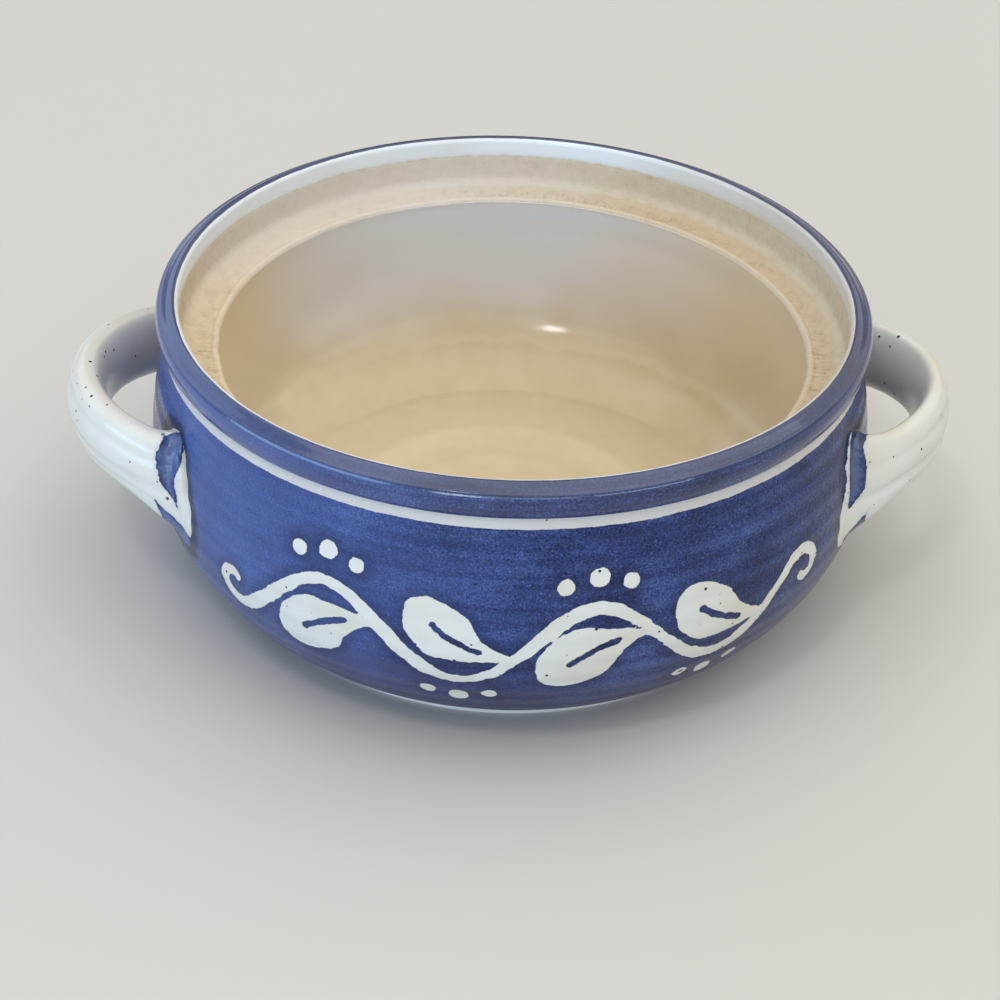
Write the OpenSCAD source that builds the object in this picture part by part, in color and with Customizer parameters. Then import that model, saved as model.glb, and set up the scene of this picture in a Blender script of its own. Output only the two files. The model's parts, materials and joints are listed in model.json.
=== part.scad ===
// Dip dish without its cover: a thrown stoneware bowl with a rolled rim and a seat for a cover
// inside it, two strap handles on luted roots, and the fired glaze coats.
// The axis of the bowl is Z, the table is at Z = 0 and the handles lie along X.

/* [Rim] */
// Diameter of the well inside the lip that a cover drops into
well_d = 140.6; // [120:0.2:170]
// Thickness of the lip, from the well to the outside of the rolled rim
lip_t = 4.3; // [3.4:0.1:7]
// Height of the rolled rim above the pale line
rim_h = 6.9; // [5:0.1:10]
// Height on the rolled rim where it is widest
rim_wide_h = 3.6; // [2:0.1:4.5]
// Radius of the rounding between the top of the lip and the well
lip_round = 0.9; // [0.4:0.1:1.4]
// Depth below the lip that the white lip glaze reaches
lip_glaze_depth = 4.5; // [3:0.1:7]
// How far the neck lies inside the rolled rim
neck_in = 1.3; // [0.6:0.1:2.4]
// How far the bottom of the groove under the rolled rim lies inside it
groove_in = 2.1; // [1:0.1:3]

/* [Cover seat] */
// Depth of the cover seat below the top of the lip
seat_depth = 11.4; // [9.6:0.1:15]
// Width of the seat, from the well to its inner edge
seat_w = 7.9; // [6:0.1:12]
// Thickness of the seat at its rounded inner edge
seat_t = 3.2; // [2:0.1:4.5]
// Radius of the cove between the well and the seat
seat_cove = 2.2; // [0.8:0.1:3]
// Height of the hollow under the seat where it runs into the wall
seat_haunch = 5; // [3:0.1:8]

/* [Bowl] */
// Height of the wall up to the pale line
neck_z = 57; // [48:0.5:75]
// Height of the pale line
line_h = 2.5; // [1.5:0.1:4]
// Height of the widest part of the belly
belly_z = 32; // [22:0.5:38]
// How far the belly swells out past the neck
belly_out = 3.7; // [1.5:0.1:8]
// Roundness of the wall below the belly
lower_curve = 2.1; // [1.6:0.05:2.8]
// Roundness of the wall above the belly
upper_curve = 1.75; // [1.3:0.05:2.4]
// Thickness of the wall
wall_t = 5.6; // [4:0.1:7]
// Thickness of the floor
floor_t = 6.5; // [4:0.1:9]
// Roundness of the inside below the belly
inner_curve = 2.6; // [2:0.05:3.4]
// How far the flat floor inside stays within the foot
floor_in = 8; // [4:0.5:14]

/* [Foot] */
// Diameter of the foot where it stands
foot_d = 118; // [98:1:132]
// Width of the standing ring of the foot
foot_w = 7; // [4:0.5:12]
// Depth of the turned hollow under the floor
foot_hollow = 1.5; // [0.6:0.1:3]
// Height of the bare clay left at the foot
foot_bare = 1.2; // [0.6:0.1:3]

/* [Handles] */
// How far a handle stands out from the belly
handle_out = 18.1; // [16:0.1:24]
// Distance between the two roots of a handle
handle_span = 58.8; // [48:0.2:70]
// Depth of the middle of a handle below the pale line
handle_drop = 17.2; // [14:0.1:22]
// Thickness of the strap
strap_t = 8.4; // [6:0.1:10]
// Height of the strap
strap_h = 15.6; // [12:0.1:18]
// Outward lean of the top of the strap
strap_lean = 4; // [0:0.5:8]
// Width of the foot of a luted root
root_w = 17; // [13:0.5:20]
// Height of the foot of a luted root
root_h = 26; // [20:0.5:28]
// Depth below the face of the wall at which the foot of a luted root is drawn
root_sink = 2; // [1.5:0.1:3]
// Length of a luted root, from the wall to where the plain strap starts
root_len = 8; // [5:0.5:12]

/* [Glaze] */
// Thickness of each fired glaze coat
coat_t = 0.3; // [0.2:0.05:0.8]

/* [Hidden] */
$fn = 96;

// Straight steps that each curved stretch of the profile is drawn with
curve_steps = 10;
round_steps = 6;
section_steps = 36;

// Colours of the clay and the glazes
clay_colour = "#c9ad86";
blue_colour = "#34448f";
line_colour = "#cfccc4";
white_colour = "#dfe0dd";
cream_colour = "#c8b48c";

// Radii of the clay, from the well outwards, and heights from the table up
well_r = well_d / 2;
lip_r = well_r + coat_t;
crest_r = lip_r + lip_round;
rim_r = well_r + lip_t;
neck_r = rim_r - neck_in;
groove_r = rim_r - groove_in;
belly_r = neck_r + belly_out;
foot_r = foot_d / 2;
line_top = neck_z + line_h;
rim_z = line_top + rim_wide_h;
top_z = line_top + rim_h;
lip_glaze_z = top_z - lip_glaze_depth;
seat_z = top_z - seat_depth;
nose_r = seat_t / 2;
nose_in = well_r - seat_w + nose_r;
under_z = seat_z - seat_t;
haunch_z = under_z - seat_haunch;
floor_z = foot_hollow + floor_t;
floor_r = foot_r - floor_in;
ring_in = foot_r - foot_w;

// Handle path: one arc through the middles of both roots, on the wall, and the outermost point
handle_z = neck_z - handle_drop;
root_r = outer_r(handle_z);
half_span = handle_span / 2;
root_angle = asin(half_span / root_r);
root_x = root_r * cos(root_angle);
crown_x = belly_r + coat_t + handle_out - strap_t / 2;
reach = crown_x - root_x;
bend_r = (half_span * half_span + reach * reach) / (2 * reach);
// Half of the angle that the plain strap turns through, between its roots
strap_angle = asin(half_span / bend_r) - root_len / bend_r * 180 / PI;
// Thickness of the slices that a root is stretched between
slice_t = 0.1;

// Radius of the clay outside the wall at height z
function outer_r(z) = z < belly_z
    ? foot_r + (belly_r - foot_r) * (1 - pow((belly_z - z) / belly_z, lower_curve))
    : belly_r - belly_out * pow((z - belly_z) / (neck_z - belly_z), upper_curve);

// Radius of the clay inside the wall at height z
function inner_r(z) = z < belly_z
    ? floor_r + (belly_r - wall_t - floor_r)
        * (1 - pow((belly_z - z) / (belly_z - floor_z), inner_curve))
    : outer_r(z) - wall_t;

// Points on a quarter of an ellipse: the angle runs from a to b, from the centre c
function ellipse_arc(c, rx, rz, a, b) =
    [for (i = [0:round_steps])
        c + [rx * cos(a + (b - a) * i / round_steps), rz * sin(a + (b - a) * i / round_steps)]];

// Heights from a to b, in even steps
function heights(a, b) = [for (i = [0:curve_steps]) a + (b - a) * i / curve_steps];

function tail(path) = [for (i = [1:len(path) - 1]) path[i]];
function reversed(path) = [for (i = [len(path) - 1:-1:0]) path[i]];
function unit(v) = v / norm(v);

// The right-hand normal at point i of a path
function normal_at(path, i) =
    let (along = unit(path[i + 1] - path[i - 1]))
    [along[1], -along[0]];

// A path moved off by d along its normals, with set directions at its two ends
function moved(path, d, first, last) = [
    path[0] + d * first,
    for (i = [1:len(path) - 2]) path[i] + d * normal_at(path, i),
    path[len(path) - 1] + d * last
];

// Stretches of the clay profile, from the foot over the rim to the middle of the floor
foot_path = [[foot_r, 0], [outer_r(foot_bare), foot_bare]];
belly_path = concat(
    [for (z = heights(foot_bare, belly_z)) [outer_r(z), z]],
    tail([for (z = heights(belly_z, neck_z)) [outer_r(z), z]])
);
line_path = [[neck_r, neck_z], [(neck_r + groove_r) / 2, neck_z + line_h / 2], [groove_r, line_top]];
rim_path = concat(
    ellipse_arc([groove_r, rim_z], rim_r - groove_r, rim_wide_h, -90, 0),
    tail(ellipse_arc([crest_r, rim_z], rim_r - crest_r, top_z - rim_z, 0, 90))
);
lip_path = concat(
    ellipse_arc([crest_r, top_z - lip_round], lip_round, lip_round, 90, 180),
    [[lip_r, lip_glaze_z]]
);
seat_path = concat(
    [[well_r, lip_glaze_z]],
    ellipse_arc([well_r - seat_cove, seat_z + seat_cove], seat_cove, seat_cove, 0, -90),
    ellipse_arc([nose_in, seat_z - nose_r], nose_r, nose_r, 90, 270)
);
liner_path = concat(
    ellipse_arc([nose_in, haunch_z], inner_r(haunch_z) - nose_in, seat_haunch, 90, 0),
    tail([for (z = heights(haunch_z, belly_z)) [inner_r(z), z]]),
    tail([for (z = heights(belly_z, floor_z)) [inner_r(z), z]]),
    [[0, floor_z]]
);

outward = [1, 0];
inward = [-1, 0];
upward = [0, 1];

module coat(path, thick, first, last) {
    rotate_extrude()
        polygon(concat(path, reversed(moved(path, thick, first, last))));
}

module oval(width, height) {
    polygon([for (i = [0:section_steps - 1])
        [width / 2 * cos(360 * i / section_steps), height / 2 * sin(360 * i / section_steps)]]);
}

// Cross-section of the strap, leaning outwards at the top
module strap_section() {
    rotate(-strap_lean)
        oval(strap_t, strap_h);
}

// One plain strap on the +X side, between its two roots
module strap() {
    translate([crown_x - bend_r, 0, handle_z])
        rotate(-strap_angle)
            rotate_extrude(angle = 2 * strap_angle)
                translate([bend_r, 0])
                    strap_section();
}

// Flare from the strap's end at +X, +Y to an oval foot just inside the face of the wall
module root_flare() {
    hull() {
        translate([crown_x - bend_r, 0, handle_z])
            rotate(strap_angle)
                translate([bend_r, slice_t, 0])
                    rotate([90, 0, 0])
                        linear_extrude(slice_t)
                            strap_section();
        rotate(root_angle)
            translate([root_r - root_sink, 0, handle_z])
                rotate([90, 0, 90])
                    linear_extrude(slice_t)
                        oval(root_w, root_h);
    }
}

// Clay that lutes one end of a strap to the wall, at the chosen side of X and Y
module root(side_x, side_y) {
    color(white_colour)
        difference() {
            scale([side_x, side_y, 1])
                root_flare();
            rotate_extrude()
                polygon(concat([[0, foot_bare]], belly_path, [[0, neck_z]]));
        }
}

module bowl_body() {
    color(clay_colour)
        rotate_extrude()
            polygon(concat(
                foot_path,
                tail(belly_path),
                tail(line_path),
                tail(rim_path),
                tail(lip_path),
                seat_path,
                tail(liner_path),
                [[0, foot_hollow], [ring_in - foot_hollow, foot_hollow], [ring_in, 0]]
            ));
}

module belly_glaze() {
    color(blue_colour)
        difference() {
            coat(belly_path, coat_t, outward, outward);
            for (side_x = [-1, 1], side_y = [-1, 1])
                scale([side_x, side_y, 1])
                    root_flare();
        }
}

module line_band() {
    color(line_colour)
        coat(line_path, coat_t, outward, outward);
}

module rim_glaze() {
    color(blue_colour)
        coat(rim_path, coat_t, outward, upward);
}

module lip_glaze() {
    color(white_colour)
        coat(lip_path, coat_t, upward, inward);
}

module liner_glaze() {
    color(cream_colour)
        coat(liner_path, coat_t, inward, upward);
}

module left_handle() {
    color(white_colour)
        mirror([1, 0, 0])
            strap();
}

module right_handle() {
    color(white_colour)
        strap();
}

module left_front_root() {
    root(-1, -1);
}

module left_back_root() {
    root(-1, 1);
}

module right_front_root() {
    root(1, -1);
}

module right_back_root() {
    root(1, 1);
}

bowl_body();
belly_glaze();
line_band();
rim_glaze();
lip_glaze();
liner_glaze();
left_handle();
right_handle();
left_front_root();
left_back_root();
right_front_root();
right_back_root();
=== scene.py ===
# %% [markdown]
# # A blue and white dip dish, without its cover
# The dish is thrown stoneware: a round bowl with a rolled rim, a bare ledge inside the lip where a cover
# would rest, and two strap handles. Its solids come from a CAD model, which fixes every size and place. This
# lesson gives each solid its finished surface: the same shape with the marks of the hand, and its glaze.

import json
import math
from dataclasses import dataclass

import bpy
import numpy as np
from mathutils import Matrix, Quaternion, Vector


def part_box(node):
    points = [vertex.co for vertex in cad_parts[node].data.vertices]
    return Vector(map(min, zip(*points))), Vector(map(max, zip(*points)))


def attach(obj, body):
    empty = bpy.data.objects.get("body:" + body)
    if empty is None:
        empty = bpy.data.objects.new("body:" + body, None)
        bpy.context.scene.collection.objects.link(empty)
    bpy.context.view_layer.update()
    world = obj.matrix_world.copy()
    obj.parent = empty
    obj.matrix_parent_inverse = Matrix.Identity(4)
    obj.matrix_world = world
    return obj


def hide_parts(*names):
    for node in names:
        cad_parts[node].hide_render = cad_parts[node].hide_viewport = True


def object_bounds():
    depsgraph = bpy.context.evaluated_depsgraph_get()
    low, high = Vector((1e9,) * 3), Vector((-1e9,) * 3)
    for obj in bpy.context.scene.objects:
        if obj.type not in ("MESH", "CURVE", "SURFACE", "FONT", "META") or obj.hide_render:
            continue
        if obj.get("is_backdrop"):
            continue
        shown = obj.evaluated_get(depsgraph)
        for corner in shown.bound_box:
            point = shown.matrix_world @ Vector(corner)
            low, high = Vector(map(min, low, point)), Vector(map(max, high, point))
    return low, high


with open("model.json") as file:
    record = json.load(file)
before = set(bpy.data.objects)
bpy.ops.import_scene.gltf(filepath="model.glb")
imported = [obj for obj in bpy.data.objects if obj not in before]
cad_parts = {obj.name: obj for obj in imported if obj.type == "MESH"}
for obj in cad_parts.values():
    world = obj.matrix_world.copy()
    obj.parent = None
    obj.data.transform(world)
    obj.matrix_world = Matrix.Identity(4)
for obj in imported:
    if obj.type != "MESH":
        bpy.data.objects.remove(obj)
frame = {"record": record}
cad_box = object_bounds()

# %% [markdown]
# ## Sizes from the frame
# A potter's sizes are radii and heights. The boxes of the solids give most of them, and the record's mounts
# give the well and the seat that a cover fits. All of these are in millimetres, because a dish is easier to
# think of that way, and MM turns them into Blender's metres at the last moment.

# %% Read radii and heights
MM = 0.001


def corners(node):
    """The lowest and the highest corner of a node, in millimetres."""
    low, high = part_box(node)
    return np.array(low) / MM, np.array(high) / MM


clay_high = corners("bowl_body")[1]
belly_low, belly_high = corners("belly_glaze")
line_high = corners("line_band")[1]
rim_high = corners("rim_glaze")[1]
lip_low, lip_high = corners("lip_glaze")
liner_low, liner_high = corners("liner_glaze")
mounts = {mount["name"]: mount for mount in frame["record"]["mounts"]}

belly_r, top_z = clay_high[0], clay_high[2]
coat = belly_high[0] - belly_r
foot_bare, neck_z = belly_low[2], belly_high[2]
line_top, neck_r = line_high[2], line_high[0] - coat
rim_r, crest_r = rim_high[0] - coat, lip_high[0]
lip_glaze_z, floor_z = lip_low[2], liner_low[2]
wall_t, under_z = belly_r - liner_high[0], liner_high[2]
well_r = mounts["cover_well"]["dims"]["r_mm"]
seat_z = mounts["cover_seat"]["pos_m"][2] / MM
print(f"belly {2 * belly_r:.1f} mm across, {top_z:.1f} mm high, glaze {coat:.2f} mm thick")

# %% Sizes that a box can't give
# Radius of the foot, and the height where the belly is widest
foot_r, belly_z = 59.0, 32.0
# Roundness of the wall below and above the belly, and of the inside below the belly
lower_round, upper_round, inner_round = 2.1, 1.75, 2.6
# Radius of the flat floor inside, width of the standing ring, depth of the hollow turned under the floor
floor_r, ring_w, hollow = 51.0, 7.0, 1.5
# How far the wall is tucked in above the foot, over what height, and how far the foot's edge stands out
foot_tuck, tuck_h, foot_out = 1.3, 6.0, 0.5
# Rounding of the foot's edge, and how far below the glaze its upper round lies
foot_round, foot_gap = 0.25, 0.4
# Depth of the groove under the rim, height of the rim's widest place above it, rounding of the lip
groove_in, rim_wide_h, lip_round = 0.5, 3.6, 0.9
# Width of the seat, radius of the cove beside it, height of the hollow under it, run of its ledge
seat_w, seat_cove, seat_haunch, ledge_run = 7.9, 2.2, 5.0, 5.0
# Rounding of the seat's raised inner edge, and the angles that it starts and ends at
seat_edge, edge_from, edge_to = 0.8, 40, 180

groove_r = neck_r - groove_in
rim_z = line_top + rim_wide_h
lip_r = crest_r - lip_round
seat_in = well_r - seat_w
haunch_z = under_z - seat_haunch
ring_in = foot_r - ring_w
print(f"the seat is {2 * seat_in:.1f} mm across inside and {2 * well_r:.1f} mm outside")

# %% [markdown]
# ## The profile of the bowl
# A thrown pot is a profile carried round an axis, so its shape is a line of radii and heights. It runs from
# under the foot, up the wall, over the rim, along the seat and down the inside to the middle of the floor.
# Each stretch is a formula with points an even step apart, so that the faces come out alike.

# %% Formulas of the wall
def hump(x):
    """A smooth hump: 1 where x is 0, falling off with its square."""
    return np.exp(-(x ** 2))


def outer_r(z):
    """Radius of the clay outside: from the foot it swells by a power of the depth below the belly, and above
    the belly it draws in by a power of the height. Just above the foot it is tucked in by a tool."""
    low = np.clip((belly_z - z) / belly_z, 0, 1) ** lower_round
    high = np.clip((z - belly_z) / (neck_z - belly_z), 0, 1) ** upper_round
    tuck = foot_tuck * hump(z / tuck_h)
    return foot_r + (belly_r - foot_r) * (1 - low) - (belly_r - neck_r) * high - tuck


def inner_r(z):
    """Radius of the clay inside: a wall's thickness within the outside, and rounder towards the floor."""
    low = np.clip((belly_z - z) / (belly_z - floor_z), 0, 1) ** inner_round
    below = floor_r + (belly_r - wall_t - floor_r) * (1 - low)
    return np.where(z < belly_z, below, outer_r(z) - wall_t)


for word, z in (("lower edge of the glaze", foot_bare), ("neck", neck_z)):
    print(f"radius of the clay at the {word}: {outer_r(z):.1f} mm")

# %% Points along a path
def wall(radius, start, stop, count=240):
    """Points along a wall whose radius is a function of the height."""
    z = np.linspace(start, stop, count)
    return np.stack([radius(z), z], 1)


def arc(centre, rx, rz, start, stop, count=30):
    """Points on an ellipse about a centre, while the angle runs from start to stop in degrees."""
    angle = np.radians(np.linspace(start, stop, count))
    return np.stack([centre[0] + rx * np.cos(angle), centre[1] + rz * np.sin(angle)], 1)


def bezier(a, b, c, d, count=60):
    """Points on the cubic curve from a to d that sets out towards b and comes in from c."""
    u = np.linspace(0, 1, count)[:, None]
    a, b, c, d = (np.array(p, float) for p in (a, b, c, d))
    return a * (1 - u) ** 3 + 3 * b * u * (1 - u) ** 2 + 3 * c * u ** 2 * (1 - u) + d * u ** 3


def lengths(path):
    """Distance from the start of a path to each of its points."""
    return np.concatenate([[0.0], np.cumsum(np.linalg.norm(np.diff(path, axis=0), axis=1))])


def read_off(at, far, rows):
    """Rows of numbers at some distances along a path, read off between their neighbours."""
    return np.stack([np.interp(at, far, column) for column in rows.T], 1)


def even(path, step):
    """The same path with points an even step apart."""
    far = lengths(path)
    return read_off(np.linspace(0, far[-1], max(2, round(far[-1] / step) + 1)), far, path)


def unit(vectors):
    """Vectors of length 1 in the same directions."""
    return vectors / np.linalg.norm(vectors, axis=-1, keepdims=True)


def right_of(path):
    """Unit normals on the right of a path: its direction turned by a quarter."""
    along = unit(np.gradient(path, axis=0))
    return np.stack([along[:, 1], -along[:, 0]], 1)


# %% Stretches of the profile
under_path = np.array([[0, hollow], [ring_in - hollow, hollow], [ring_in, 0], [foot_r - 2 * foot_round, 0]])
edge_r = foot_r + foot_out - foot_round
foot_path = np.concatenate([
    arc((edge_r, foot_round), foot_round, foot_round, -90, 0, 5),
    arc((edge_r, foot_bare - foot_gap), foot_round, foot_round, 0, 80, 5),
    [[outer_r(foot_bare), foot_bare]],
])
belly_path = wall(outer_r, foot_bare, neck_z)
line_path = np.array([[neck_r, neck_z], [groove_r, line_top]])
rim_path = np.concatenate([
    arc((groove_r, rim_z), rim_r - groove_r, rim_wide_h, -90, 0),
    arc((crest_r, rim_z), rim_r - crest_r, top_z - rim_z, 0, 90)[1:],
])
lip_path = np.concatenate([
    arc((crest_r, top_z - lip_round), lip_round, lip_round, 90, 180),
    [[lip_r, lip_glaze_z]],
])
seat_path = np.concatenate([
    [[well_r, lip_glaze_z]],
    arc((well_r - seat_cove, seat_z + seat_cove), seat_cove, seat_cove, 0, -90),
    arc((seat_in + seat_edge, seat_z - seat_edge), seat_edge, seat_edge, edge_from, edge_to),
])
haunch_r = float(inner_r(haunch_z))
under_seat = (
    (seat_in, seat_z - seat_edge), (seat_in + ledge_run, under_z),
    (haunch_r, under_z), (haunch_r, haunch_z),
)
liner_path = np.concatenate([
    bezier(*under_seat),
    wall(inner_r, haunch_z, floor_z)[1:],
    [[0, floor_z]],
])
for word, path in (("wall", belly_path), ("rim", rim_path), ("seat", seat_path), ("liner", liner_path)):
    print(f"{word}: {lengths(path)[-1]:.1f} mm along the profile")

# %% [markdown]
# ## From a profile to a closed mesh
# Blender's Screw or Spin could turn the profile, but then the hand's marks would need sculpting. With arrays
# the marks are part of the formula: a little out of round, a rim that dips, a nicked edge on the seat, and a
# relief that lifts each point along the normal. Every piece of the bowl goes through the same wobble, so a
# coat stays on the clay under it.

# %% Turning a path round the axis
BOWL_COLUMNS, BELLY_COLUMNS = 480, 720
# The wobble: how far out of round, three-sided and dipping, the angle where each starts, and a twist
OUT_OF_ROUND, THREE_SIDED, RIM_DIP = 0.003, 0.0012, 0.3
ROUND_AT, SIDES_AT, DIP_AT, TWIST = -0.8, 0.5, 1.9, 25
# Nicks of the seat's edge: their number, the depth of the deepest, and how far from the edge they reach
SEAT_NICKS, NICK_DEEP, NICK_REACH = 22, 0.5, 1.4
# Slow waves of the seat's edge: height, number in a turn and start
UNEVEN = ((0.1, 7, 1.0), (0.07, 17, 0.0), (0.05, 31, 2.0))


def around(columns):
    """The angles of so many columns once round the axis, as a row."""
    return np.linspace(0, 2 * math.pi, columns, endpoint=False)[None, :]


def nicks(angle):
    """Depth of the nicks in the seat's inner edge: narrow humps at random angles, over a slow unevenness."""
    chance = np.random.default_rng(5)
    place_at = chance.uniform(0, 2 * math.pi, (SEAT_NICKS, 1))
    size = chance.uniform(0.2, 1.0, (SEAT_NICKS, 1)) ** 2 * NICK_DEEP
    width = np.radians(chance.uniform(0.8, 3.0, (SEAT_NICKS, 1)))
    apart = np.angle(np.exp(1j * (angle - place_at)))
    uneven = sum(high * np.sin(count * angle + start) for high, count, start in UNEVEN)
    return uneven + (size * hump(apart / width)).sum(0, keepdims=True)


def turned(path, columns, relief=0.0):
    """A path carried round the axis: x = r cos a, y = r sin a. The relief is one number or a grid of them,
    along the normal. Nicks push the seat's inner edge out and down, the radius swells with the cosines of
    twice and three times the angle, and the rim dips."""
    angle = around(columns)
    normal = right_of(path)
    from_edge = np.hypot(path[:, :1] - seat_in, path[:, 1:] - seat_z)
    nick = nicks(angle) * hump(from_edge / NICK_REACH)
    r = path[:, :1] + normal[:, :1] * relief + nick
    z = path[:, 1:] + normal[:, 1:] * relief - nick
    sides = THREE_SIDED * np.cos(3 * angle + SIDES_AT + z / TWIST)
    r = r * (1 + OUT_OF_ROUND * np.cos(2 * angle + ROUND_AT) + sides)
    z = z + RIM_DIP * np.cos(2 * angle + DIP_AT) * (z / top_z) ** 2
    return np.stack([r * np.cos(angle), r * np.sin(angle), z + 0 * angle], -1)


print(f"nicks up to {nicks(around(BOWL_COLUMNS)).max():.2f} mm deep in the seat's edge")

# %% A closed mesh on a grid
SHARP = math.radians(55)


def shell(name, points, ring=False, poles=(False, False), fields=None, normals=None):
    """A closed mesh on a grid of points, with quads between neighbours. Columns always close up. A ring
    closes the rows as well, and a pole gathers its row into one point. Fields are numbers kept at the
    points."""
    rows, columns = points.shape[:2]
    index = np.arange(rows * columns).reshape(rows, columns)
    if poles[0]:
        index[0] = index[0, 0]
    if poles[1]:
        index[-1] = index[-1, 0]
    index = np.concatenate([index, index[:, :1]], 1)
    if ring:
        index = np.concatenate([index, index[:1]])
    quads = np.stack([index[:-1, :-1], index[:-1, 1:], index[1:, 1:], index[1:, :-1]], -1).reshape(-1, 4)
    flat = points.reshape(-1, 3)
    a, b, c, d = (flat[quads[:, k]] for k in range(4))
    volume = (a * (np.cross(b, c) + np.cross(c, d))).sum() / 6
    if volume < 0:
        quads = quads[:, ::-1]
    used, quads = np.unique(quads, return_inverse=True)
    quads = quads.reshape(-1, 4)
    first, last = quads[:, 0] == quads[:, 1], quads[:, 2] == quads[:, 3]
    faces = quads[~(first | last)].tolist() + quads[first, 1:].tolist() + quads[last, :3].tolist()
    mesh = bpy.data.meshes.new(name)
    mesh.from_pydata((flat[used] * MM).tolist(), [], faces)
    for field, values in (fields or {}).items():
        values = np.broadcast_to(values, (rows, columns)).reshape(-1)[used]
        mesh.attributes.new(field, "FLOAT", "POINT").data.foreach_set("value", values.astype(np.float32))
    mesh.shade_smooth()
    if normals is None:
        mesh.set_sharp_from_angle(angle=SHARP)
    else:
        mesh.normals_split_custom_set_from_vertices(normals.reshape(-1, 3)[used].tolist())
    print(f"{name}: {len(faces)} faces, {abs(volume) / 1000:.1f} cubic cm")
    return mesh


# %% A coat over the clay
# Steps between the clay's points: on a long stretch under a coat, on a short one, and on the bare seat
PLAIN, COARSE, FINE = 2.0, 1.4, 0.35
# Length above which a stretch is long, and the smallest share that a coat's thin end comes down to
LONG, THINNEST = 30.0, 0.1


def clay_under(path):
    """The clay's own points under a coat: PLAIN apart on a LONG stretch, and COARSE on a shorter one."""
    return even(path, PLAIN if lengths(path)[-1] > LONG else COARSE)


def thinned(far, over, power):
    """Thickness of a coat near its end: a power of the share of the distance over which it grows."""
    return coat * np.clip(far / over, THINNEST, 1) ** power


def coat_over(name, path, columns, step, relief=None, fields=None, thickness=None):
    """A glaze coat: from the end of the clay's own path back to its start, and then along the same path
    raised by the coat's thickness and relief. The two join into a ring, or end in poles where the path
    reaches the axis. Each point keeps its height and radius, as they were before the wobble."""
    clay, path = clay_under(path), even(path, step)
    thickness = np.full((len(path), 1), coat) if thickness is None else thickness(path)
    outside = turned(path, columns, thickness + (relief(path, columns) if relief else 0.0))
    below = turned(clay, columns)[::-1]
    both = np.concatenate([clay[::-1], path])
    kept = {"height": both[:, 1:], "radius": both[:, :1]}
    for field, formula in (fields or {}).items():
        kept[field] = np.concatenate([formula(clay, columns)[::-1], formula(path, columns)])
    on_axis = bool(path[-1, 0] < 1e-6)
    return shell(name, np.concatenate([below, outside]), not on_axis, (on_axis, on_axis), kept)


def in_scene(name, data):
    """A new object in the scene, at the origin."""
    made = bpy.data.objects.new(name, data)
    bpy.context.scene.collection.objects.link(made)
    return made


def place(name, mesh, finish, slot, node):
    """Puts a mesh into the scene as the piece of the dish that stands for one node."""
    piece = in_scene(name, mesh)
    mesh.materials.append(finish)
    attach(piece, "root")
    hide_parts(node)


# %% [markdown]
# ## Writing glazes as sums
# A glaze is layers of noise, added and compared. Wiring that up node by node hides the idea, so a small class
# wraps a socket and lets Python's own operators add the Math nodes. One method makes every other kind of
# node. Sizes of noise are given in millimetres, as a potter would see them.

# %% A field
class Field:
    """A number, a colour or a vector that varies over a surface: one output socket of a material."""

    def __init__(self, owner, socket):
        self.owner = owner
        self.socket = socket

    def __add__(self, other):
        return self.owner.math("ADD", self, other)

    def __sub__(self, other):
        return self.owner.math("SUBTRACT", self, other)

    def __rsub__(self, other):
        return self.owner.math("SUBTRACT", other, self)

    def __mul__(self, other):
        return self.owner.math("MULTIPLY", self, other)

    __radd__ = __add__
    __rmul__ = __mul__

    def larger(self, other):
        return self.owner.math("MAXIMUM", self, other)

    def step(self, low, high):
        """0 below low, 1 above high, and a smooth step between them."""
        limits = {"Value": self, "From Min": low, "From Max": high}
        return self.owner.node("ShaderNodeMapRange", {"interpolation_type": "SMOOTHSTEP"}, limits)

    def beside(self, output):
        """Another output of the same node."""
        return Field(self.owner, self.socket.node.outputs[output])


# %% A finish
def set_stops(elements, stops):
    """Gives a ramp its stops: the two that it starts with are moved, and others are added."""
    while len(elements) < len(stops):
        elements.new(1.0)
    for element, (place, colour) in zip(elements, stops):
        element.position = place
        element.color = (*colour, 1.0)


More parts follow.
